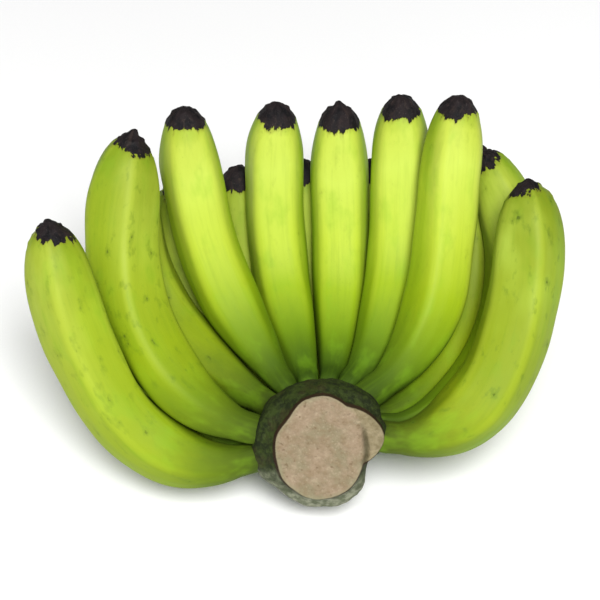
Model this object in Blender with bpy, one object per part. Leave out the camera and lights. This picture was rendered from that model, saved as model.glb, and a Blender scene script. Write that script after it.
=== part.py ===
"""A hand of green bananas, lying on the backs of its fingers.

The hand is first laid out upright around the stalk it was cut from: the stalk's
axis is Z, the cut face of the crown looks along -Y, and each finger leaves the
crown outwards and curves up.  The whole hand is then leant back to the pose in
which it lies at rest, with the table at Z = 0.
"""
import math
from collections import namedtuple

import bmesh
import bpy
import numpy as np
from mathutils import Matrix, Vector

# Rest pose
LEAN_BACK = 17.0              # degrees that the stalk's axis leans away from upright
REST_FLAT_DEPTH = 0.0016      # how far the lowest skin is pressed flat by the table
TABLE_THICKNESS = 0.05        # of the block that trims that skin

# Crown, the pad that joins the fingers
FACE_WIDTH = 0.052            # cut face, across
FACE_HEIGHT = 0.064           # cut face, up
FACE_TILT = 10.0              # degrees that the cut face looks up
FACE_AHEAD = 0.021            # cut face in front of the stalk's axis
FACE_RISE = 0.0093            # middle of the cut face above the stalk's origin
COLLAR_WIDTH = 0.078          # widest part of the crown, behind the cut face
COLLAR_HEIGHT = 0.076
COLLAR_RISE = 0.004           # middle of the collar above the stalk's origin
COLLAR_TAPER = 0.14           # share by which the crown's lower end is narrower
COLLAR_BACK = 0.014           # depth of the widest part behind the cut face
CROWN_DEPTH = 0.050           # from the cut face to the back of the pad
BACK_WIDTH = 0.034            # back of the pad, between the two rows of necks
BACK_HEIGHT = 0.032
LOBE_TURN = 15.0              # degrees above level of the lobe on the cut's right side
LOBE_SPREAD = 24.0            # degrees to each side that the lobe fades out over
LOBE_RISE = 0.010             # how far the lobe stands out from the cut's oval

# Fingers
NECK_RING_RADIUS = 0.036      # distance from the stalk's axis at which the necks start
NECK_BITE = 0.007             # how much further in a neck starts than the crown's back
NECK_RADIUS = 0.0072
BODY_RADIUS = 0.0190
TIP_RADIUS = 0.0085           # of the dried blossom end
SWELLING_POWER = 1.2          # how late the neck swells into the body
BELLY_START = 0.42            # stations along a finger, from 0 at the neck to 1 at the tip
BELLY_END = 0.78
SHOULDER_CURVE = 3.2          # how late the belly turns in to the tip
SHOULDER_POWER = 0.75         # how bluntly it does
START_PULL = 0.38             # how long the curve keeps to its first direction
END_PULL = 0.50               # how long it keeps to its last direction
RIDGE_RISE = 0.045            # ridges above and flats below the mean radius, as a share
RIDGES = 5
SKIN_GAP = 0.0008             # clear gap between fingers that press on each other
LEAST_FLAT_SHARE = 0.25       # nearest that a pressed flat comes to a finger's middle, as a
                              # share of the way to its neighbour's middle
CROWN_GAP = 0.0003            # clear gap between a neck and the crown

# Facets
FINGER_STEPS = 23             # from ring to ring along a finger
PRESS_STEPS = 92              # steps along a neighbour at which its pressing is felt
CROWN_SIDES = 32
RIM_STEPS = 3
BACK_STEPS = 4
SHARP_ANGLE = 50.0            # degrees between facets above which an edge stays sharp

# One finger: turn around the stalk's axis (degrees, 0 straight back, + to the
# right) at the neck and at the tip, height of the neck, pitch of the neck and of
# the tip (degrees above level), the tip's distance from the axis and height, how
# far the tip leans to its right (degrees) and how far its ridges are rolled.
Finger = namedtuple("Finger", "neck_turn tip_turn neck_height neck_pitch tip_pitch "
                              "reach rise lean roll girth")

UPPER_ROW = [
    Finger(-88, -51, 0.011, 18, 94, 0.142, 0.157, 17, 10, 1.13),
    Finger(-50, -46, 0.015, 3, 98, 0.155, 0.121, 5, -12, 0.98),
    Finger(-34, -35, 0.021, 22, 78, 0.141, 0.163, 3, 8, 0.97),
    Finger(-10, -10, 0.021, 2, 87, 0.147, 0.153, 6, -6, 0.96),
    Finger(10, 5, 0.021, -3, 85, 0.147, 0.151, -1, 14, 0.96),
    Finger(31, 20, 0.023, 9, 84, 0.149, 0.160, -2, -10, 0.98),
    Finger(56, 36, 0.025, 18, 76, 0.143, 0.170, -2, 4, 0.98),
    Finger(62, 35, 0.009, -4, 90, 0.162, 0.134, -7, 0, 0.95),
]

LOWER_ROW = [
    Finger(-95, -78, -0.0028, -22, 82, 0.157, 0.128, 8, 6, 1.08),
    Finger(-70, -53, -0.012, 0, 84, 0.160, 0.102, 0, 0, 0.97),
    Finger(-46, -34, -0.013, -9, 86, 0.162, 0.102, 0, 12, 0.97),
    Finger(-24, -18, -0.012, -3, 85, 0.163, 0.105, -1, -8, 0.97),
    Finger(-4, -3, -0.013, -1, 84, 0.161, 0.106, -1, 5, 0.97),
    Finger(17, 12, -0.012, -1, 86, 0.163, 0.107, -1, -14, 0.97),
    Finger(39, 27, -0.013, -9, 85, 0.163, 0.105, -2, 9, 0.97),
    Finger(82, 40, 0.010, -8, 100, 0.158, 0.131, -31, 0, 0.95),
    Finger(96, 61, 0.011, -8, 83, 0.139, 0.137, -20, -5, 1.10),
]

FINGERS = UPPER_ROW + LOWER_ROW


def clear_scene():
    for thing in list(bpy.data.objects):
        bpy.data.objects.remove(thing, do_unlink=True)


def material(name, colour, roughness):
    made = bpy.data.materials.new(name)
    made.use_nodes = True
    shader = made.node_tree.nodes["Principled BSDF"]
    shader.inputs["Base Color"].default_value = (*colour, 1.0)
    shader.inputs["Roughness"].default_value = roughness
    shader.inputs["Metallic"].default_value = 0.0
    made.diffuse_color = (*colour, 1.0)
    return made


def peel_material():
    return material("green_peel", (0.42, 0.56, 0.07), 0.45)


def crown_material():
    return material("crown_flesh", (0.36, 0.29, 0.17), 0.75)


def around_stalk(turn, distance, height):
    """A point at a turn, a distance from the stalk's axis and a height."""
    angle = math.radians(turn)
    return Vector((distance * math.sin(angle), distance * math.cos(angle), height))


def heading(turn, pitch):
    """The direction that points outwards at a turn and pitches up."""
    rise = math.radians(pitch)
    return around_stalk(turn, math.cos(rise), math.sin(rise))


def finger_curve(finger):
    """The four control points of a finger's centreline, from neck to tip."""
    neck = around_stalk(finger.neck_turn, NECK_RING_RADIUS, finger.neck_height)
    tip = around_stalk(finger.tip_turn, finger.reach, finger.rise)
    span = (tip - neck).length
    sideways = around_stalk(finger.tip_turn + 90.0, 1.0, 0.0)
    lean = math.radians(finger.lean)
    end = heading(finger.tip_turn, finger.tip_pitch) * math.cos(lean) + sideways * math.sin(lean)
    start = heading(finger.neck_turn, finger.neck_pitch)
    return neck, neck + start * START_PULL * span, tip - end * END_PULL * span, tip


def curve_point(controls, share):
    a, b, c, d = controls
    rest = 1.0 - share
    return a * rest**3 + b * 3 * rest**2 * share + c * 3 * rest * share**2 + d * share**3


def curve_heading(controls, share):
    a, b, c, d = controls
    rest = 1.0 - share
    return ((b - a) * rest**2 + (c - b) * 2 * rest * share + (d - c) * share**2).normalized()


def skin_radius(share, girth):
    """Radius of a finger at a share of its length: neck, belly, shoulder and tip."""
    body = BODY_RADIUS * girth
    swelling = math.sin(math.pi / 2 * min(share / BELLY_START, 1.0))
    radius = NECK_RADIUS + (body - NECK_RADIUS) * swelling ** SWELLING_POWER
    rounding = max(share - BELLY_END, 0.0) / (1.0 - BELLY_END)
    return TIP_RADIUS + (radius - TIP_RADIUS) * (1.0 - rounding**SHOULDER_CURVE) ** SHOULDER_POWER


def finger_stations(finger, steps):
    """Centre, heading and radius at even steps, from inside the crown to the tip."""
    controls = finger_curve(finger)
    start = curve_heading(controls, 0.0)
    root = NECK_RING_RADIUS - (CROWN_DEPTH - FACE_AHEAD) + NECK_BITE
    roots = max(1, round(root / (controls[3] - controls[0]).length * steps))
    stations = [(controls[0] - start * root * (roots - step) / roots, start, NECK_RADIUS)
                for step in range(roots)]
    for step in range(steps + 1):
        share = step / steps
        centre = curve_point(controls, share)
        stations.append((centre, curve_heading(controls, share), skin_radius(share, finger.girth)))
    return stations


def ring_directions(finger, along):
    """Outward directions to a ring's points: a ridge, a flat, a ridge, and so on."""
    sideways = around_stalk((finger.neck_turn + finger.tip_turn) / 2 + 90.0, 1.0, 0.0)
    across = (sideways - along * sideways.dot(along)).normalized()
    back = across.cross(along)
    directions = []
    for point in range(2 * RIDGES):
        angle = math.pi * point / RIDGES + math.radians(finger.roll)
        share = 1.0 + RIDGE_RISE if point % 2 == 0 else 1.0 - RIDGE_RISE
        directions.append((back * math.cos(angle) + across * math.sin(angle), share))
    return directions


def pressed_radius(centre, direction, radius, own_radius, others):
    """Radius kept when the neighbours press a flat onto a finger's skin.

    Between two rings the flat stands across the line that joins their centres,
    in the middle for equal rings and nearer to the thinner one otherwise.
    """
    centres, radii = others
    away = centres - np.array(centre)
    distance = np.linalg.norm(away, axis=1)
    share = 0.5 + (own_radius**2 - radii**2) / (2.0 * distance**2)
    flat = np.clip(share, LEAST_FLAT_SHARE, 1.0 - LEAST_FLAT_SHARE) * distance - SKIN_GAP / 2
    facing = away @ np.array(direction) / distance
    towards = facing > 1e-6
    return min(radius, float(np.min(flat[towards] / facing[towards], initial=radius)))


def closed_mesh(name, loops):
    """A solid through a list of point loops, closed by a flat cap at both ends.

    Each loop turns anticlockwise as seen looking back from the last loop.
    """
    shape = bmesh.new()
    rings = [[shape.verts.new(point) for point in loop] for loop in loops]
    for lower, upper in zip(rings, rings[1:]):
        for index in range(len(lower)):
            following = (index + 1) % len(lower)
            shape.faces.new((lower[index], lower[following], upper[following]))
            shape.faces.new((lower[index], upper[following], upper[index]))
    shape.faces.new(list(reversed(rings[0])))
    shape.faces.new(rings[-1])
    mesh = bpy.data.meshes.new(name)
    shape.to_mesh(mesh)
    shape.free()
    mesh.shade_smooth()
    mesh.set_sharp_from_angle(angle=math.radians(SHARP_ANGLE))
    return mesh


def finger_mesh(name, number):
    """One finger, with a flat wherever a neighbour presses on it."""
    samples = [station for other, finger in enumerate(FINGERS) if other != number
               for station in finger_stations(finger, PRESS_STEPS)]
    others = (np.array([centre for centre, _, _ in samples]),
              np.array([radius for _, _, radius in samples]))
    loops = []
    for centre, along, radius in finger_stations(FINGERS[number], FINGER_STEPS):
        loop = []
        for direction, share in ring_directions(FINGERS[number], along):
            kept = pressed_radius(centre, direction, radius * share, radius, others)
            loop.append(centre + direction * kept)
        loops.append(loop)
    return closed_mesh(name, loops)


def crown_loop(width, height, rise, taper, depth, lobe, grow):
    """One oval of the crown, at a depth behind the cut face."""
    tilt = Matrix.Rotation(math.radians(-FACE_TILT), 3, "X")
    loop = []
    for index in range(CROWN_SIDES):
        angle = 2 * math.pi * index / CROWN_SIDES
        from_lobe = (math.degrees(angle) - LOBE_TURN + 180.0) % 360.0 - 180.0
        extra = grow + lobe * math.exp(-(from_lobe / LOBE_SPREAD) ** 2)
        narrowing = 1.0 - taper * max(-math.sin(angle), 0.0)
        across = (width / 2 + extra) * math.cos(angle) * narrowing
        up = (height / 2 + extra) * math.sin(angle) + rise
        loop.append(tilt @ Vector((across, depth - FACE_AHEAD, up)))
    return loop


def between(start, end, share):
    return [a + (b - a) * share for a, b in zip(start, end)]


def crown_mesh(name, grow):
    """The pad: a cut face, a rounded rim, a wide collar and a narrower back."""
    face = (FACE_WIDTH, FACE_HEIGHT, FACE_RISE, 0.0)
    collar = (COLLAR_WIDTH, COLLAR_HEIGHT, COLLAR_RISE, COLLAR_TAPER)
    back = (BACK_WIDTH, BACK_HEIGHT, COLLAR_RISE, COLLAR_TAPER)
    loops = [crown_loop(*face, -grow, LOBE_RISE, grow)]
    for step in range(1, RIM_STEPS + 1):
        share = step / RIM_STEPS
        size = between(face, collar, math.sin(math.pi / 2 * share))
        loops.append(crown_loop(*size, COLLAR_BACK * share, LOBE_RISE * (1.0 - share), grow))
    for step in range(1, BACK_STEPS + 1):
        turn = math.pi / 2 * step / BACK_STEPS
        size = between(collar, back, 1.0 - math.cos(turn))
        depth = COLLAR_BACK + (CROWN_DEPTH + grow - COLLAR_BACK) * math.sin(turn)
        loops.append(crown_loop(*size, depth, 0.0, grow))
    loops.reverse()
    return closed_mesh(name, loops)


def add_object(name, mesh, holder):
    made = bpy.data.objects.new(name, mesh)
    bpy.context.scene.collection.objects.link(made)
    made.parent = holder
    return made


def add_cutter(name, mesh, holder):
    cutter = add_object(name, mesh, holder)
    cutter.hide_render = True
    cutter.display_type = "WIRE"
    return cutter


def cut(piece, cutter):
    modifier = piece.modifiers.new(cutter.name, "BOOLEAN")
    modifier.operation = "DIFFERENCE"
    modifier.solver = "EXACT"
    modifier.object = cutter


def lay_down(holder, meshes):
    """Lean the hand back, centre it and press its lowest skin into the table."""
    lean = Matrix.Rotation(math.radians(-LEAN_BACK), 4, "X")
    points = [lean @ vertex.co for mesh in meshes for vertex in mesh.vertices]
    low = [min(point[axis] for point in points) for axis in range(3)]
    high = [max(point[axis] for point in points) for axis in range(3)]
    holder.rotation_euler = lean.to_euler()
    holder.location = (-(low[0] + high[0]) / 2, -(low[1] + high[1]) / 2, -low[2] - REST_FLAT_DEPTH)
    return high[0] - low[0], high[1] - low[1]


def table_mesh(width, depth):
    """A block just below Z = 0 that trims the resting skin flat."""
    shape = bmesh.new()
    bmesh.ops.create_cube(shape, size=1.0)
    bmesh.ops.scale(shape, vec=(2 * width, 2 * depth, TABLE_THICKNESS), verts=shape.verts)
    bmesh.ops.translate(shape, vec=(0.0, 0.0, -TABLE_THICKNESS / 2), verts=shape.verts)
    mesh = bpy.data.meshes.new("table")
    shape.to_mesh(mesh)
    shape.free()
    return mesh


def build():
    clear_scene()
    peel = peel_material()
    flesh = crown_material()
    hand = bpy.data.objects.new("hand", None)
    bpy.context.scene.collection.objects.link(hand)

    crown = add_object("crown", crown_mesh("crown", 0.0), hand)
    crown.data.materials.append(flesh)
    seat = add_cutter("crown_seat", crown_mesh("crown_seat", CROWN_GAP), hand)

    pieces = [crown]
    for number in range(len(FINGERS)):
        name = f"banana_{number + 1:02d}"
        finger = add_object(name, finger_mesh(name, number), hand)
        finger.data.materials.append(peel)
        cut(finger, seat)
        pieces.append(finger)

    width, depth = lay_down(hand, [piece.data for piece in pieces])
    table = add_cutter("table", table_mesh(width, depth), None)
    for piece in pieces:
        cut(piece, table)


build()
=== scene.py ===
import math
from collections import namedtuple

import bpy
import numpy as np
from mathutils import Matrix, Vector, noise


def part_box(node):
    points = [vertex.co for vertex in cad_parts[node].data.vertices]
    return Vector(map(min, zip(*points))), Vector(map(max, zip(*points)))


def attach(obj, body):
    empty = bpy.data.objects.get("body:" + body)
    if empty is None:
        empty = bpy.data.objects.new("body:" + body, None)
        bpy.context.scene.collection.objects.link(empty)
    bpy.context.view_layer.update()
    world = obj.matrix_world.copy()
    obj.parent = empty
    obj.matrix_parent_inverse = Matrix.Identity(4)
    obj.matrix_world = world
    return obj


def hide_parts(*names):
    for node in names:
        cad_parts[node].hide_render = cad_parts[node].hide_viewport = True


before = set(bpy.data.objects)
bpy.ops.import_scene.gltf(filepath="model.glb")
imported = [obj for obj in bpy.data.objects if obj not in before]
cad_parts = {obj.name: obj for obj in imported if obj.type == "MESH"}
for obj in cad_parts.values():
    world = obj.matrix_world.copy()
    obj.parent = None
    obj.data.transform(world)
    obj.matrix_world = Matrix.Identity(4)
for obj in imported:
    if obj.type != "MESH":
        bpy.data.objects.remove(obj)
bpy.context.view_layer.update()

# ---------------------------------------------------------------------------
# The crown: the pad of fibrous flesh that joins the fingers. A knife has cut it
# from the stalk, which leaves a flat tan face at the end of a short stub. Behind
# the face its own dark green skin swells into a collar that holds the necks.

LEAN_BACK = 17.0              # degrees that the hand leans back where it lies
CROWN_MIDDLE = (0.0004, 0.0036, 0.0067)    # middle of the crown's box from the stalk's origin
FACE_TILT = 10.0              # degrees that the cut face looks up from the hand
FACE_AHEAD = 0.021            # cut face in front of the stalk's axis
FACE_RISE = 0.0093            # middle of the cut face above the stalk's origin
FACE_HALF_WIDTH = 0.0262
FACE_HALF_HEIGHT = 0.0328
FACE_DISH = 0.0009            # how far the knife's cut has sunk in the middle
FACE_RINGS = 60
CROWN_SIDES = 192

# the collar's outline around the middle of the cut face: right and up
COLLAR_OUTLINE = [
    (0.0350, -0.0090), (0.0380, 0.0057), (0.0320, 0.0240), (0.0160, 0.0325),
    (0.0000, 0.0345), (-0.0167, 0.0300), (-0.0290, 0.0215), (-0.0375, 0.0055),
    (-0.0390, -0.0090), (-0.0362, -0.0225), (-0.0321, -0.0280), (-0.0253, -0.0290),
    (-0.0175, -0.0375), (0.0000, -0.0440), (0.0180, -0.0390), (0.0262, -0.0300),
    (0.0267, -0.0180), (0.0284, -0.0120),
]

# the lobe at the cut's right side, around the same middle
LOBE_OUTLINE = [
    (0.0110, 0.0275), (0.0220, 0.0235), (0.0312, 0.0172), (0.0362, 0.0103),
    (0.0375, 0.0048), (0.0348, -0.0020), (0.0296, -0.0083), (0.0230, -0.0110),
]

# loops behind the cut face: depth, share of the way out to the collar, share of
# the full size
CROWN_LOOPS = [
    (0.0006, 0.05, 1.00), (0.0018, 0.12, 1.00), (0.0034, 0.22, 1.00), (0.0052, 0.38, 1.00),
    (0.0070, 0.60, 1.00), (0.0090, 0.82, 1.00), (0.0112, 0.95, 1.00), (0.0140, 1.00, 1.00),
    (0.0180, 1.00, 1.00), (0.0230, 1.00, 0.97), (0.0290, 1.00, 0.91), (0.0355, 1.00, 0.81),
    (0.0420, 1.00, 0.67), (0.0470, 1.00, 0.50), (0.0495, 1.00, 0.32), (0.0500, 1.00, 0.14),
]
COLLAR_LEAST = 0.0016         # least that the collar stands out beyond the cut
SKIN_DEPTH = 0.02             # behind the cut, past which the skin counts as deep
CUT_CORNER_TURN = 133.0       # degrees round from level of the cut's flatter corner
CUT_CORNER_SPREAD = 26.0
CUT_CORNER_DEPTH = 0.0030
LOBE_LOWER = (-28.0, -20.0)   # degrees round from level over which the lobe sets in
LOBE_UPPER = (62.0, 72.0)     # and over which it fades out
LOBE_SLOPE = 0.005            # width over which the lobe sinks
LOBE_SINK = 0.0026            # how far the lobe lies behind the cut
GROOVE_FADE = (6.0, 42.0)     # degrees over which the groove fades out upwards
GROOVE_DEPTH = 0.0030         # of the groove between the lower half of the lobe and the cut
GROOVE_REACH = 0.0016

lean = np.array(Matrix.Rotation(math.radians(-LEAN_BACK), 3, "X"))
face_turn = np.array(Matrix.Rotation(math.radians(-FACE_TILT), 3, "X"))
crown_low, crown_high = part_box("crown")
stalk = (np.array(crown_low) + np.array(crown_high)) / 2 - np.array(CROWN_MIDDLE)


def laid_down(points):
    """Points of the upright hand, leant back and set where the frame has it."""
    return np.asarray(points) @ lean.T + stalk


def lumps(points, size, amount, seed):
    """Smooth random relief with lumps of about one size, one value per point."""
    points = np.asarray(points)
    shift = Vector((seed * 3.17, seed * 1.71, seed * 5.39))
    values = [noise.noise(Vector(point) / size + shift) for point in points.reshape(-1, 3)]
    return amount * np.array(values).reshape(points.shape[:-1])


def smooth(value, start, end):
    share = np.clip((value - start) / (end - start), 0.0, 1.0)
    return share * share * (3.0 - 2.0 * share)


def outline_reach(outline, angles, softness):
    """Distance from the face's middle out to an outline, at each angle."""
    points = np.array(outline)
    turns = np.arctan2(points[:, 1], points[:, 0])
    order = np.argsort(turns)
    reach = np.hypot(points[:, 0], points[:, 1])[order]
    return sum(
        weight * np.interp(angles + step * softness, turns[order], reach, period=2 * math.pi)
        for step, weight in ((-2, 0.15), (-1, 0.2), (0, 0.3), (1, 0.2), (2, 0.15))
    )


def on_face(angles, reach, depth):
    """Points of the upright hand at a turn and reach round the face, behind it."""
    across = reach * np.cos(angles)
    up = reach * np.sin(angles)
    back = np.broadcast_to(depth, across.shape) - FACE_AHEAD
    upright = np.stack([across, back, up + FACE_RISE], axis=-1)
    return upright @ face_turn.T


def crown_shape():
    """Loops from the back of the pad to the middle of the face, and their traits."""
    angles = np.linspace(-math.pi, math.pi, CROWN_SIDES, endpoint=False)
    degrees = np.degrees(angles)
    oval = 1.0 / np.hypot(np.cos(angles) / FACE_HALF_WIDTH, np.sin(angles) / FACE_HALF_HEIGHT)
    oval = oval - CUT_CORNER_DEPTH * np.exp(-((degrees - CUT_CORNER_TURN) / CUT_CORNER_SPREAD) ** 2)
    oval = oval + lumps(on_face(angles, oval, 0.0), 0.014, 0.0012, 1)
    on_lobe = smooth(degrees, *LOBE_LOWER) * (1.0 - smooth(degrees, *LOBE_UPPER))
    lobe_reach = outline_reach(LOBE_OUTLINE, angles, 0.05)
    cut = oval + np.maximum(lobe_reach - oval, 0.0) * on_lobe
    collar = np.maximum(outline_reach(COLLAR_OUTLINE, angles, 0.07), cut + COLLAR_LEAST)
    in_groove = on_lobe * (1.0 - smooth(degrees, *GROOVE_FADE))
    loops, inside, lobes, grooves = [], [], [], []
    for depth, outward, size in reversed(CROWN_LOOPS):
        reach = (cut + (collar - cut) * outward) * size
        rim = on_lobe * (1.0 - smooth(depth, 0.004, 0.012))
        depths = depth + LOBE_SINK * rim * smooth(cut - oval, 0.0, LOBE_SLOPE)
        points = on_face(angles, reach, depths)
        swell = lumps(points, 0.011, 0.0016, 4) + lumps(points, 0.004, 0.0007, 5)
        reach = reach + swell * min(depth / 0.006, 1.0) * size
        loops.append(on_face(angles, reach, depths))
        inside.append(-depth - (reach - cut) * (depth < SKIN_DEPTH))
        edge = 1.0 - smooth(depth, 0.002, 0.006)
        lobes.append(on_lobe * smooth(cut - oval, 0.001, 0.004) * edge)
        grooves.append(np.zeros(CROWN_SIDES))
    for ring in range(FACE_RINGS, 0, -1):
        share = ring / FACE_RINGS
        reach = cut * share
        beyond = reach - oval
        points = on_face(angles, reach, 0.0)
        relief = lumps(points, 0.012, 0.0009, 2) + lumps(points, 0.003, 0.00035, 3)
        groove = in_groove * np.exp(-((beyond - GROOVE_REACH / 2) / GROOVE_REACH) ** 2)
        depths = FACE_DISH * (1.0 - share**4) + relief * (1.0 - share**10)
        depths = depths + LOBE_SINK * on_lobe * smooth(beyond, 0.0, LOBE_SLOPE)
        depths = depths + GROOVE_DEPTH * groove
        loops.append(on_face(angles, reach, depths))
        inside.append(cut - reach)
        lobes.append(on_lobe * smooth(beyond, -0.001, 0.002))
        grooves.append(groove)
    traits = {"inside": inside, "lobe": lobes, "groove": grooves}
    return np.array(loops), {name: np.array(values) for name, values in traits.items()}


def skinned(name, loops, traits):
    """A closed skin through loops of points, with a middle point at both ends.

    Each loop turns anticlockwise as seen looking back from the last loop. traits
    holds a number or a vector for every point, which the finish reads by name.
    """
    rings, sides = loops.shape[:2]
    grid = np.arange(rings * sides).reshape(rings, sides)
    turned = np.roll(grid, -1, axis=1)
    quads = np.stack([grid[:-1], turned[:-1], turned[1:], grid[1:]], axis=-1).reshape(-1, 4)
    first, last = rings * sides, rings * sides + 1
    faces = quads.tolist()
    faces += [(first, after, here) for here, after in zip(grid[0].tolist(), turned[0].tolist())]
    faces += [(last, here, after) for here, after in zip(grid[-1].tolist(), turned[-1].tolist())]
    points = np.concatenate([loops.reshape(-1, 3), loops[[0, -1]].mean(axis=1)])
    mesh = bpy.data.meshes.new(name)
    mesh.from_pydata(points.tolist(), [], faces)
    for trait, values in traits.items():
        spread = values.reshape(rings, sides, -1)
        flat = np.concatenate([spread.reshape(rings * sides, -1), spread[[0, -1]].mean(axis=1)])
        kind, channel = ("FLOAT", "value") if flat.shape[1] == 1 else ("FLOAT_VECTOR", "vector")
        layer = mesh.attributes.new(trait, kind, "POINT")
        layer.data.foreach_set(channel, flat.astype(np.float32).ravel())
    mesh.shade_smooth()
    return mesh


def colour(red, green, blue):
    """A colour as the eye sees it, 0 to 255, in the linear values that nodes take."""
    shares = [value / 255.0 for value in (red, green, blue)]
    return tuple(
        share / 12.92 if share <= 0.04045 else ((share + 0.055) / 1.055) ** 2.4
        for share in shares
    ) + (1.0,)


class Field:
    """A value that varies over a surface, for sums written as plain arithmetic."""

    def __init__(self, finish, socket):
        self.finish = finish
        self.socket = socket

    def calculate(self, operation, first, second):
        return self.finish.add("ShaderNodeMath", {"operation": operation}, {0: first, 1: second})

    def __add__(self, other):
        return self.calculate("ADD", self, other)

    def __sub__(self, other):
        return self.calculate("SUBTRACT", self, other)

    def __rsub__(self, other):
        return self.calculate("SUBTRACT", other, self)

    def __mul__(self, other):
        return self.calculate("MULTIPLY", self, other)

    __radd__ = __add__
    __rmul__ = __mul__

    def above(self, start, end):
        """0 up to start, 1 from end on, and a smooth step between them."""
        return self.finish.add("ShaderNodeMapRange", {"interpolation_type": "SMOOTHSTEP"},
                               {"Value": self, "From Min": start, "From Max": end})

    def blend(self, without, full):
        """One colour where this value is 0, and another where it is 1."""
        return self.finish.add("ShaderNodeMix", {"data_type": "RGBA"},
                               {0: self, 6: without, 7: full}, 2)


class Finish:
    """A material, made of nodes that feed its shader."""

    def __init__(self, name):
        self.material = bpy.data.materials.new(name)
        self.material.use_nodes = True
        self.tree = self.material.node_tree
        self.shader = self.tree.nodes["Principled BSDF"]

    def put(self, socket, value):
        if isinstance(value, Field):
            self.tree.links.new(value.socket, socket)
        else:
            socket.default_value = value

    def add(self, kind, settings, values, output=0):
        """A node of a type, with its settings and its sockets' values or links."""
        node = self.tree.nodes.new(kind)
        for setting, value in settings.items():
            if setting == "stops":
                ramp = node.color_ramp
                ramp.elements.remove(ramp.elements[1])
                ramp.elements[0].position, ramp.elements[0].color = value[0]
                for position, shade in value[1:]:
                    ramp.elements.new(position).color = shade
            else:
                setattr(node, setting, value)
        for name, value in values.items():
            self.put(node.inputs[name], value)
        return Field(self, node.outputs[output])

    def trait(self, name, output="Fac"):
        """A trait that the mesh carries at each of its points."""
        return self.add("ShaderNodeAttribute", {"attribute_name": name}, {}, output)

    def grain(self, place, stretch, scale, detail=3.0):
        """Soft random cloud, from 0 to 1, stretched along an axis."""
        spread = self.add("ShaderNodeVectorMath", {"operation": "MULTIPLY"}, {0: place, 1: stretch})
        return self.add("ShaderNodeTexNoise", {},
                        {"Vector": spread, "Scale": scale, "Detail": detail, "Roughness": 0.55})

    def wear(self, base, roughness, gloss, height, depth):
        """Feeds the shader: colour, roughness, gloss, and relief of a depth in metres."""
        bump = self.add("ShaderNodeBump", {}, {"Distance": depth, "Height": height}, "Normal")
        self.put(self.shader.inputs["Base Color"], base)
        self.put(self.shader.inputs["Roughness"], roughness)
        self.put(self.shader.inputs["Specular IOR Level"], gloss)
        self.put(self.shader.inputs["Normal"], bump)
        return self.material


def crown_finish():
    """Dry tan flesh with fibre ends on the cut, and dark skin on the collar."""
    finish = Finish("crown_flesh")
    place = finish.add("ShaderNodeTexCoord", {}, {}, "Object")
    height = finish.add("ShaderNodeSeparateXYZ", {}, {0: place}, "Z")
    inside = finish.trait("inside")
    lobe = finish.trait("lobe")

    groove = finish.trait("groove")
    broad = finish.grain(place, (1, 1, 1), 75)
    mottle = finish.grain(place, (1, 1, 1), 230, 4.0)
    fine = finish.grain(place, (1, 1, 1), 850)
    knots = finish.grain(place, (1, 1, 1), 330)
    fibres = finish.add("ShaderNodeTexVoronoi", {"feature": "F1"},
                        {"Vector": place, "Scale": 430, "Randomness": 1.0}, "Distance")

    flesh = broad.above(0.36, 0.62).blend(colour(130, 120, 94), colour(144, 126, 103))
    flesh = (mottle.above(0.42, 0.72) * 0.65).blend(flesh, colour(124, 106, 80))
    flesh = ((1 - mottle.above(0.26, 0.44)) * 0.5).blend(flesh, colour(168, 152, 126))
    flesh = ((1 - fibres.above(0.10, 0.36)) * 0.22).blend(flesh, colour(172, 158, 132))
    flesh = (knots.above(0.62, 0.72) * 0.6).blend(flesh, colour(98, 78, 56))
    flesh = (fine.above(0.60, 0.72) * 0.25).blend(flesh, colour(96, 78, 56))
    flesh = ((1 - (inside + mottle * 0.003).above(0.0006, 0.0050)) * 0.55).blend(
        flesh, colour(136, 134, 104))

    side = mottle.above(0.35, 0.65).blend(colour(140, 128, 98), colour(112, 102, 72))
    flesh = (lobe * 0.7).blend(flesh, side)
    # Painted shade: dark colour in the groove between the lobe and the cut.
    flesh = (groove * 0.75).blend(flesh, colour(60, 56, 34))

    skin = mottle.above(0.36, 0.62).blend(colour(48, 60, 20), colour(28, 36, 13))
    skin = (broad.above(0.50, 0.64) * 0.6).blend(skin, colour(52, 48, 24))
    skin = (knots.above(0.52, 0.68) * 0.4).blend(skin, colour(62, 74, 34))
    low = 1 - (height + (broad - 0.5) * 0.03).above(0.024, 0.050)
    weathered = mottle.above(0.36, 0.64).blend(colour(146, 148, 126), colour(98, 104, 80))
    skin = (low * 0.9).blend(skin, weathered)
    skin = (fine.above(0.60, 0.72) * 0.5).blend(skin, colour(22, 22, 12))
    scorched = (inside + 0.0040 + mottle * 0.001).above(0.0, 0.0018) * (1 - low * 0.8)
    skin = (scorched * 0.85).blend(skin, colour(44, 24, 14))

    cut = (inside + (mottle - 0.5) * 0.0012 + 0.0004).above(0.0, 0.0010)
    base = cut.blend(skin, flesh)
    relief = mottle * 0.7 + fine * 0.25 + fibres * 0.25 - knots * 0.3
    return finish.wear(base, 0.66 + mottle * 0.3, 0.20, relief, 0.0016)


crown_loops, crown_traits = crown_shape()
crown_mesh = skinned("crown_pad", laid_down(crown_loops), crown_traits)
crown = bpy.data.objects.new("crown_pad", crown_mesh)
bpy.context.scene.collection.objects.link(crown)
crown.data.materials.append(crown_finish())
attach(crown, "root")
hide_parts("crown")

# ---------------------------------------------------------------------------
# The fingers: seventeen unripe bananas in two rows. Each is a thick green peel,
# five-ridged, on a narrow neck that grows from the crown, pressed flat where it
# lies on its neighbours, and ends in the black dried remains of its blossom.

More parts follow.
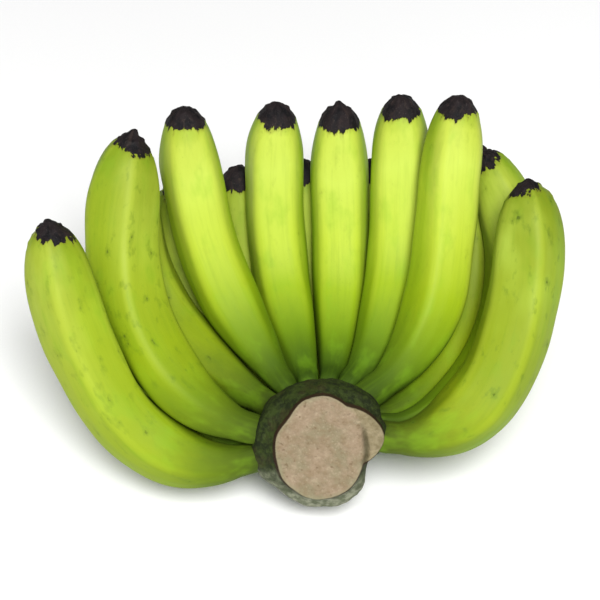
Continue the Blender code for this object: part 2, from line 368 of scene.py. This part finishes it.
NECK_RING_RADIUS = 0.036      # distance from the stalk's axis at which the necks start
NECK_ROOT = 0.010             # length of neck that reaches back into the crown
NECK_RADIUS = 0.0072
NECK_FLARE = 0.0022           # how much a neck widens where it meets the crown
NECK_FLARE_SHARE = 0.07       # share of the finger over which it does
BODY_RADIUS = 0.0190
TIP_RADIUS = 0.0082
SWELLING_POWER = 1.2
BELLY_START = 0.42
BELLY_END = 0.78
SHOULDER_CURVE = 3.2          # how late the belly turns in to the tip
SHOULDER_POWER = 0.75         # how bluntly it does
START_PULL = 0.38
END_PULL = 0.50
RIDGE_RISE = 0.050            # height of the five ridges, as a share of the radius
RIDGE_CREST = 0.012           # extra that makes ridges narrower than flats
SKIN_GAP = 0.0008             # clear gap between fingers that press on each other
PRESS_ROUNDING = 0.0030       # how softly a pressed flat turns into round skin
LEAST_FLAT_SHARE = 0.25
UNEVENNESS = 0.0009           # slow swells of the skin
UNEVENNESS_SIZE = 0.030
TIP_LUMPS = (0.0035, 0.0011)  # size and height of the dried tip's lumps
BLOSSOM_LUMPS = (0.0028, 0.0010)
BLACK_DIP = 0.0032            # how much further the black runs down a finger's front
# The front flat is paler than the side flats: partly real colour, partly painted shade on the sides
# that turn from the lamp.
FRONT_FLAT = (36.0, 84.0)     # degrees from its middle over which the front flat fades out
TABLE_GAP = 0.0001            # of the skin that the table presses flat
FINGER_RINGS = 104
FINGER_SIDES = 60

# rings of the dried blossom beyond the end of a finger: distance on, share of
# the stub that is added to it, radius
BLOSSOM_RINGS = [
    (0.0008, 0.00, 0.0077), (0.0017, 0.00, 0.0069), (0.0025, 0.00, 0.0059),
    (0.0031, 0.00, 0.0047), (0.0034, 0.15, 0.0036), (0.0035, 0.50, 0.0028),
    (0.0036, 0.85, 0.0019), (0.0037, 1.00, 0.0008),
]

# One finger: turn around the stalk's axis (degrees, 0 straight back, + to the
# right) at the neck and at the tip, height of the neck, pitch of the neck and of
# the tip, the tip's distance from the axis and height, how far the tip leans to
# its right, thickness, turn of its front flat, length of the blossom's stub, and
# three shares of colour: how yellow-olive, how dark a green (on the outer and
# back fingers partly painted shade) and how scarred, and how far the black of
# the blossom runs down the finger beyond the usual.
Finger = namedtuple("Finger", "neck_turn tip_turn neck_height neck_pitch tip_pitch reach rise "
                              "lean girth flat stub olive dark scars black")

FINGERS = [
    Finger(-88, -51, 0.011, 18, 94, 0.142, 0.157, 17, 1.13, -18, 0.0035, 0.55, 0.42, 0.8, -0.0022),
    Finger(-50, -46, 0.015, 3, 98, 0.155, 0.121, 5, 0.98, -25, 0.0004, 0.65, 0.45, 0.6, -0.0040),
    Finger(-34, -35, 0.021, 22, 78, 0.141, 0.163, 3, 0.97, -24, 0.0006, 0.20, 0.00, 0.1, 0.0000),
    Finger(-10, -10, 0.021, 2, 87, 0.147, 0.153, 6, 0.96, -8, 0.0004, 0.00, 0.00, 0.2, 0.0006),
    Finger(10, 5, 0.021, -3, 85, 0.147, 0.151, -1, 0.96, 5, 0.0028, 0.00, 0.00, 0.2, 0.0010),
    Finger(31, 20, 0.023, 9, 84, 0.149, 0.160, -2, 0.98, 20, 0.0006, 0.05, 0.00, 0.1, 0.0000),
    Finger(56, 36, 0.025, 18, 76, 0.143, 0.170, -2, 0.98, 56, 0.0006, 0.20, 0.00, 0.2, -0.0004),
    Finger(62, 35, 0.009, -4, 90, 0.162, 0.134, -7, 0.95, 30, 0.0010, 0.60, 0.30, 0.5, -0.0010),
    Finger(-95, -78, -0.0028, -22, 82, 0.157, 0.128, 8, 1.08, -121, 0.0022, 0.60, 0.34, 0.6, -0.0024),
    Finger(-70, -53, -0.012, 0, 84, 0.160, 0.102, 0, 0.97, -45, 0.0015, 0.40, 0.45, 0.4, 0.0000),
    Finger(-46, -34, -0.013, -9, 86, 0.162, 0.102, 0, 0.97, -30, 0.0004, 0.30, 0.45, 0.4, -0.0050),
    Finger(-24, -18, -0.012, -3, 85, 0.163, 0.105, -1, 0.97, -17, 0.0006, 0.35, 0.45, 0.5, 0.0000),
    Finger(-4, -3, -0.013, -1, 84, 0.161, 0.106, -1, 0.97, 5, 0.0012, 0.30, 0.45, 0.4, 0.0000),
    Finger(17, 12, -0.012, -1, 86, 0.163, 0.107, -1, 0.97, -4, 0.0008, 0.30, 0.45, 0.4, 0.0000),
    Finger(39, 27, -0.013, -9, 85, 0.163, 0.105, -2, 0.97, 25, 0.0010, 0.30, 0.45, 0.4, 0.0000),
    Finger(82, 40, 0.010, -8, 100, 0.158, 0.131, -31, 0.95, 50, 0.0012, 0.25, 0.35, 0.4, -0.0020),
    Finger(96, 61, 0.011, -8, 83, 0.139, 0.137, -20, 1.10, 52, 0.0016, 0.90, 0.55, 1.0, -0.0042),
]


def around_stalk(turn, distance, height):
    angle = math.radians(turn)
    return np.array((distance * math.sin(angle), distance * math.cos(angle), height))


def heading(turn, pitch):
    rise = math.radians(pitch)
    return around_stalk(turn, math.cos(rise), math.sin(rise))


def unit(vectors):
    return vectors / np.linalg.norm(vectors, axis=-1, keepdims=True)


def bend(finger, shares):
    """Middle points and headings of a finger at shares of its length."""
    neck = around_stalk(finger.neck_turn, NECK_RING_RADIUS, finger.neck_height)
    tip = around_stalk(finger.tip_turn, finger.reach, finger.rise)
    span = np.linalg.norm(tip - neck)
    tilt = math.radians(finger.lean)
    sideways = around_stalk(finger.tip_turn + 90.0, 1.0, 0.0)
    end = heading(finger.tip_turn, finger.tip_pitch) * math.cos(tilt) + sideways * math.sin(tilt)
    after_neck = neck + heading(finger.neck_turn, finger.neck_pitch) * START_PULL * span
    before_tip = tip - end * END_PULL * span
    done = shares[:, None]
    left = 1.0 - done
    middles = (neck * left**3 + after_neck * 3 * left**2 * done
               + before_tip * 3 * left * done**2 + tip * done**3)
    along = unit((after_neck - neck) * left**2 + (before_tip - after_neck) * 2 * left * done
                 + (tip - before_tip) * done**2)
    return middles, along


def skin_radius(shares, girth):
    """Radius of a finger at shares of its length: neck, belly, shoulder and tip."""
    body = BODY_RADIUS * girth
    swelling = np.sin(math.pi / 2 * np.minimum(shares / BELLY_START, 1.0))
    radius = NECK_RADIUS + (body - NECK_RADIUS) * swelling**SWELLING_POWER
    rounding = np.clip((shares - BELLY_END) / (1.0 - BELLY_END), 0.0, 1.0)
    return TIP_RADIUS + (radius - TIP_RADIUS) * (1.0 - rounding**SHOULDER_CURVE) ** SHOULDER_POWER


def rings_of(finger):
    """Middle, heading, radius and length reached of each ring of a finger."""
    shares = np.linspace(0.0, 1.0, FINGER_RINGS)
    middles, along = bend(finger, shares)
    radii = skin_radius(shares, finger.girth)
    root = middles[0] - along[0] * NECK_ROOT
    middles = np.concatenate([[root], middles])
    along = np.concatenate([[along[0]], along])
    radii = np.concatenate([[NECK_RADIUS], radii])
    shares = np.concatenate([[0.0], shares])
    return middles, along, radii, shares


def pressed(middles, directions, radii, wanted, others):
    """Skin distances once the neighbours have pressed their flats into it."""
    centres, sizes = others
    kept = np.array(wanted)
    for ring in range(len(middles)):
        away = centres - middles[ring]
        distance = np.linalg.norm(away, axis=1)
        near = distance < 3.2 * BODY_RADIUS
        if not near.any():
            continue
        away, distance, size = away[near], distance[near], sizes[near]
        share = 0.5 + (radii[ring] ** 2 - size**2) / (2.0 * distance**2)
        flat = np.clip(share, LEAST_FLAT_SHARE, 1.0 - LEAST_FLAT_SHARE) * distance - SKIN_GAP / 2
        facing = (directions[ring] @ away.T) / distance
        limit = np.where(facing > 0.05, flat / np.maximum(facing, 0.05), 1.0).min(axis=1)
        mixing = np.clip(0.5 + 0.5 * (limit - wanted[ring]) / PRESS_ROUNDING, 0.0, 1.0)
        kept[ring] = (limit + (wanted[ring] - limit) * mixing
                      - PRESS_ROUNDING * mixing * (1.0 - mixing))
    return kept


def finger_shape(number, rows):
    """Loops of one finger from its root to the blossom, and its traits."""
    finger = FINGERS[number]
    middles, along, radii, shares = rows[number]
    turn = np.linspace(0.0, 2 * math.pi, FINGER_SIDES, endpoint=False)
    mean_turn = (finger.neck_turn + finger.tip_turn) / 2
    sideways = around_stalk(mean_turn + 90.0, 1.0, 0.0)
    across = unit(sideways - along * (along @ sideways)[:, None])
    back = np.cross(across, along)
    directions = (back[:, None] * np.cos(turn)[None, :, None]
                  + across[:, None] * np.sin(turn)[None, :, None])

    wave = np.cos(5 * (turn - math.radians(finger.flat)))
    from_flat = np.abs((np.degrees(turn) - finger.flat + 180.0) % 360.0 - 180.0)
    ridged = smooth(shares, 0.0, 0.25) * (1.0 - 0.55 * smooth(shares, 0.86, 0.97))
    profile = 1.0 + ridged[:, None] * (-RIDGE_RISE * wave + RIDGE_CREST * (2 * wave**2 - 1))
    flare = NECK_FLARE * (1.0 - smooth(shares, 0.0, NECK_FLARE_SHARE))
    wanted = (radii + flare)[:, None] * profile
    surface = middles[:, None] + directions * wanted[..., None]
    swells = lumps(surface, UNEVENNESS_SIZE, UNEVENNESS, number + 11)
    wanted = wanted + swells * smooth(shares, 0.0, 0.2)[:, None]
    others = (np.concatenate([row[0] for other, row in enumerate(rows) if other != number]),
              np.concatenate([row[2] for other, row in enumerate(rows) if other != number]))
    kept = pressed(middles, directions, radii, wanted, others)
    burnt = smooth(shares, 0.955, 0.985)[:, None]
    surface = middles[:, None] + directions * kept[..., None]
    kept = kept + burnt * lumps(surface, *TIP_LUMPS, number + 31)
    loops = middles[:, None] + directions * kept[..., None]

    extra = []
    for reached, stub_share, radius in BLOSSOM_RINGS:
        middle = middles[-1] + along[-1] * (reached + stub_share * finger.stub)
        ring = middle + directions[-1] * radius
        rough = lumps(ring, *BLOSSOM_LUMPS, number + 51)[:, None]
        outwards = directions[-1] * rough * min(radius / 0.004, 1.0)
        extra.append(ring + outwards + along[-1] * rough * 0.8)
    loops = np.concatenate([loops, extra])

    steps = np.linalg.norm(np.diff(loops.mean(axis=1), axis=0), axis=1)
    length = np.concatenate([[0.0], np.cumsum(steps)])
    rings = len(loops)
    full = np.concatenate([kept, np.tile(kept[-1], (rings - len(kept), 1))])
    straight = np.stack([full * np.cos(turn), full * np.sin(turn),
                         np.tile(length[:, None], FINGER_SIDES)], axis=-1)
    reached = np.concatenate([shares, np.ones(rings - len(shares))])
    to_tip = length[len(shares) - 1] - length
    lower_front = BLACK_DIP * np.cos(turn)
    traits = {
        "straight": straight + 0.37 * (number + 1),
        "along": np.tile(reached[:, None], FINGER_SIDES),
        "crest": np.tile(0.5 - 0.5 * wave, (rings, 1)),
        "inner": np.tile(1.0 - smooth(from_flat, *FRONT_FLAT), (rings, 1)),
        "pressed": np.concatenate([wanted - kept, np.zeros((rings - len(kept), FINGER_SIDES))]),
        "to_tip": to_tip[:, None] - lower_front - finger.black,
        "tone": np.tile([finger.olive, finger.dark, finger.scars], (rings, FINGER_SIDES, 1)),
    }
    return loops, traits


def peel_finish():
    """Waxy green peel: lime on the flats, dark at the neck (deeper green and painted shade), black at
    the tip.
    """
    finish = Finish("green_peel")
    place = finish.trait("straight", "Vector")
    along = finish.trait("along")
    crest = finish.trait("crest")
    shade_where_pressed = finish.trait("pressed")
    to_tip = finish.trait("to_tip")
    tone = finish.trait("tone", "Vector")
    olive = finish.add("ShaderNodeSeparateXYZ", {}, {0: tone}, "X")
    dark = finish.add("ShaderNodeSeparateXYZ", {}, {0: tone}, "Y")
    scarred = finish.add("ShaderNodeSeparateXYZ", {}, {0: tone}, "Z")

    cloud = finish.grain(place, (1, 1, 0.45), 34)
    patch = finish.grain(place, (1, 1, 0.5), 75)
    streak = finish.grain(place, (1, 1, 0.05), 420)
    grainy = finish.grain(place, (1, 1, 1), 1300, 2.0)
    blemish = finish.grain(place, (1, 1, 0.55), 170, 4.0)

    # Weight of the paler front flat against the darker side flats, whose colour is partly deeper
    # green and partly painted shade.
    inner = (finish.trait("inner") + (patch - 0.5) * 0.6).above(0.0, 0.9)
    reach = along + (cloud - 0.5) * 0.14
    # All three ramps darken towards the neck: partly the neck's own deeper green, partly painted
    # shade near the crown and between the necks.
    pale = finish.add("ShaderNodeValToRGB", {"stops": [
        (0.00, colour(52, 76, 8)), (0.08, colour(72, 100, 10)),
        (0.20, colour(106, 136, 10)), (0.42, colour(146, 172, 22)),
        (0.62, colour(176, 196, 54)), (0.84, colour(186, 204, 78)),
        (0.95, colour(180, 196, 70)), (1.00, colour(148, 170, 44)),
    ]}, {0: reach})
    # Colour of the side flats: the pale ramp a little darker, partly deeper green and partly painted
    # shade.
    side_green_and_shade = finish.add("ShaderNodeValToRGB", {"stops": [
        (0.00, colour(60, 84, 10)), (0.10, colour(82, 110, 12)),
        (0.40, colour(128, 158, 14)), (0.80, colour(166, 192, 46)),
        (1.00, colour(130, 160, 30)),
    ]}, {0: reach})
    ripe = finish.add("ShaderNodeValToRGB", {"stops": [
        (0.00, colour(58, 70, 8)), (0.15, colour(92, 108, 10)),
        (0.36, colour(146, 160, 15)), (0.60, colour(150, 162, 18)),
        (0.80, colour(152, 162, 30)), (1.00, colour(134, 144, 28)),
    ]}, {0: along + (patch - 0.5) * 0.2})
    base = inner.blend(side_green_and_shade, pale)
    base = (olive * cloud.above(0.22, 0.60)).blend(base, ripe)
    base = (patch.above(0.50, 0.72) * 0.30).blend(base, colour(122, 168, 28))
    # Darker green over the body: partly the finger's own deeper green, partly painted shade on the
    # outer and back fingers.
    base = (dark * along.above(0.15, 0.5) * 0.8).blend(base, colour(92, 122, 14))
    base = (streak.above(0.46, 0.74) * 0.14).blend(base, colour(98, 132, 16))
    # Paler along the ridges: partly a pale streak of the peel, partly a painted highlight.
    ridge_streak_and_highlight = crest.above(0.84, 1.0) * along.above(0.12, 0.5)
    base = (ridge_streak_and_highlight * 0.16).blend(base, colour(186, 200, 70))
    # Painted shade: darker green where a neighbour presses the skin flat, in the crease between
    # fingers.
    base = (shade_where_pressed.above(0.0010, 0.0050) * 0.45).blend(base, colour(76, 108, 16))
    speck = grainy.above(0.70, 0.76) * cloud.above(0.45, 0.6)
    base = (speck * 0.42).blend(base, colour(58, 76, 20))
    scar = blemish.above(0.69, 0.74) * scarred
    base = (scar * 0.75).blend(base, colour(50, 54, 18))
    smear = blemish.above(0.55, 0.70) * scarred
    base = (smear * 0.42).blend(base, colour(82, 110, 16))

    drips = finish.grain(place, (1, 1, 0.22), 330)
    edge = to_tip + (patch - 0.5) * 0.007 + (blemish - 0.5) * 0.007 + (drips - 0.5) * 0.011
    browning = 1 - edge.above(0.0054, 0.0080)
    black = 1 - edge.above(0.0050, 0.0057)
    crust_with_glints = blemish.above(0.34, 0.62).blend(colour(11, 10, 13), colour(34, 27, 28))
    # Painted highlights: paler glints on the black dried tip, along the drips and in fine grains.
    crust_with_glints = (drips.above(0.52, 0.70) * 0.50).blend(crust_with_glints, colour(56, 45, 40))
    crust_with_glints = (grainy.above(0.62, 0.72) * 0.40).blend(crust_with_glints, colour(86, 78, 74))
    base = (browning * 0.35).blend(base, colour(110, 96, 34))
    base = black.blend(base, crust_with_glints)
    sheen = 0.46 + cloud * 0.14 + speck * 0.2 + scar * 0.2 + (1 - along.above(0.02, 0.45)) * 0.22
    rough = sheen + black * (0.42 + blemish * 0.5 - sheen)
    relief = streak * 0.10 + grainy * 0.05 - scar * 0.12 + black * (blemish * 2.2 + grainy * 0.6)
    return finish.wear(base, rough, 0.17, relief, 0.0006)


finger_rows = [rings_of(finger) for finger in FINGERS]
peel = peel_finish()
for number in range(len(FINGERS)):
    loops, traits = finger_shape(number, finger_rows)
    resting = laid_down(loops)
    resting[..., 2] = np.maximum(resting[..., 2], TABLE_GAP)
    mesh = skinned(f"finger_{number + 1:02d}", resting, traits)
    mesh.materials.append(peel)
    piece = bpy.data.objects.new(mesh.name, mesh)
    bpy.context.scene.collection.objects.link(piece)
    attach(piece, "root")
    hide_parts(f"banana_{number + 1:02d}")

# ---------------------------------------------------------------------------
# The table top: a plain sheet of white board that the hand lies on. It is only
# the stage.

BOARD_SIZE = 8.0

board_mesh = bpy.data.meshes.new("board")
half = BOARD_SIZE / 2
board_mesh.from_pydata([(-half, -half, 0), (half, -half, 0), (half, half, 0), (-half, half, 0)],
                       [], [(0, 1, 2, 3)])
board = bpy.data.objects.new("board", board_mesh)
bpy.context.scene.collection.objects.link(board)
paper = Finish("white_board")
board_place = paper.add("ShaderNodeTexCoord", {}, {}, "Object")
tooth = paper.grain(board_place, (1, 1, 1), 600)
white = tooth.blend(colour(247, 247, 247), colour(243, 243, 243))
board.data.materials.append(paper.wear(white, 0.85 + tooth * 0.1, 0.2, tooth, 0.00005))

# ---------------------------------------------------------------------------
# The studio: one large soft lamp near the viewer, above and a little to the
# right, a weak wide fill from the left, a low soft lamp in front that lights the
# undersides, and pale walls all round.

VIEW_RISE = 30.0              # degrees that the viewer stands above the upright hand's level
VIEW_DISTANCE = 1.0
AIM = (-0.0114, 0.060, 0.0658)
LENS = 100.0

rise = math.radians(VIEW_RISE)
back_way = lean @ np.array((0.0, -math.cos(rise), math.sin(rise)))
up_way = lean @ np.array((0.0, math.sin(rise), math.cos(rise)))
right_way = np.array((1.0, 0.0, 0.0))
aim = laid_down(AIM)

walls = bpy.data.worlds.new("walls")
bpy.context.scene.world = walls
walls.use_nodes = True
walls.node_tree.nodes["Background"].inputs["Color"].default_value = (1.0, 1.0, 1.0, 1.0)
walls.node_tree.nodes["Background"].inputs["Strength"].default_value = 0.24


def soft_lamp(name, place, size, power):
    """A square soft lamp that looks at the hand, placed right, up and back from it."""
    lamp = bpy.data.lights.new(name, "AREA")
    lamp.size = size
    lamp.energy = power
    holder = bpy.data.objects.new(name, lamp)
    offset = right_way * place[0] + up_way * place[1] + back_way * place[2]
    holder.location = Vector(aim + offset)
    holder.rotation_euler = Vector(offset).to_track_quat("Z", "Y").to_euler()
    bpy.context.scene.collection.objects.link(holder)


soft_lamp("key", (0.30, 0.55, 2.60), 1.1, 86.0)
soft_lamp("fill", (-1.6, 1.0, 1.8), 1.6, 9.0)
soft_lamp("front", (0.3, -1.6, 2.0), 1.2, 13.0)

camera_data = bpy.data.cameras.new("camera")
camera_data.lens = LENS
camera_data.sensor_width = 36.0
camera = bpy.data.objects.new("camera", camera_data)
axes = np.stack([right_way, up_way, back_way], axis=1)
stand = Matrix.Translation(aim + back_way * VIEW_DISTANCE)
camera.matrix_world = stand @ Matrix(axes.tolist()).to_4x4()
bpy.context.scene.collection.objects.link(camera)
bpy.context.scene.camera = camera
bpy.context.scene.view_settings.view_transform = "Standard"
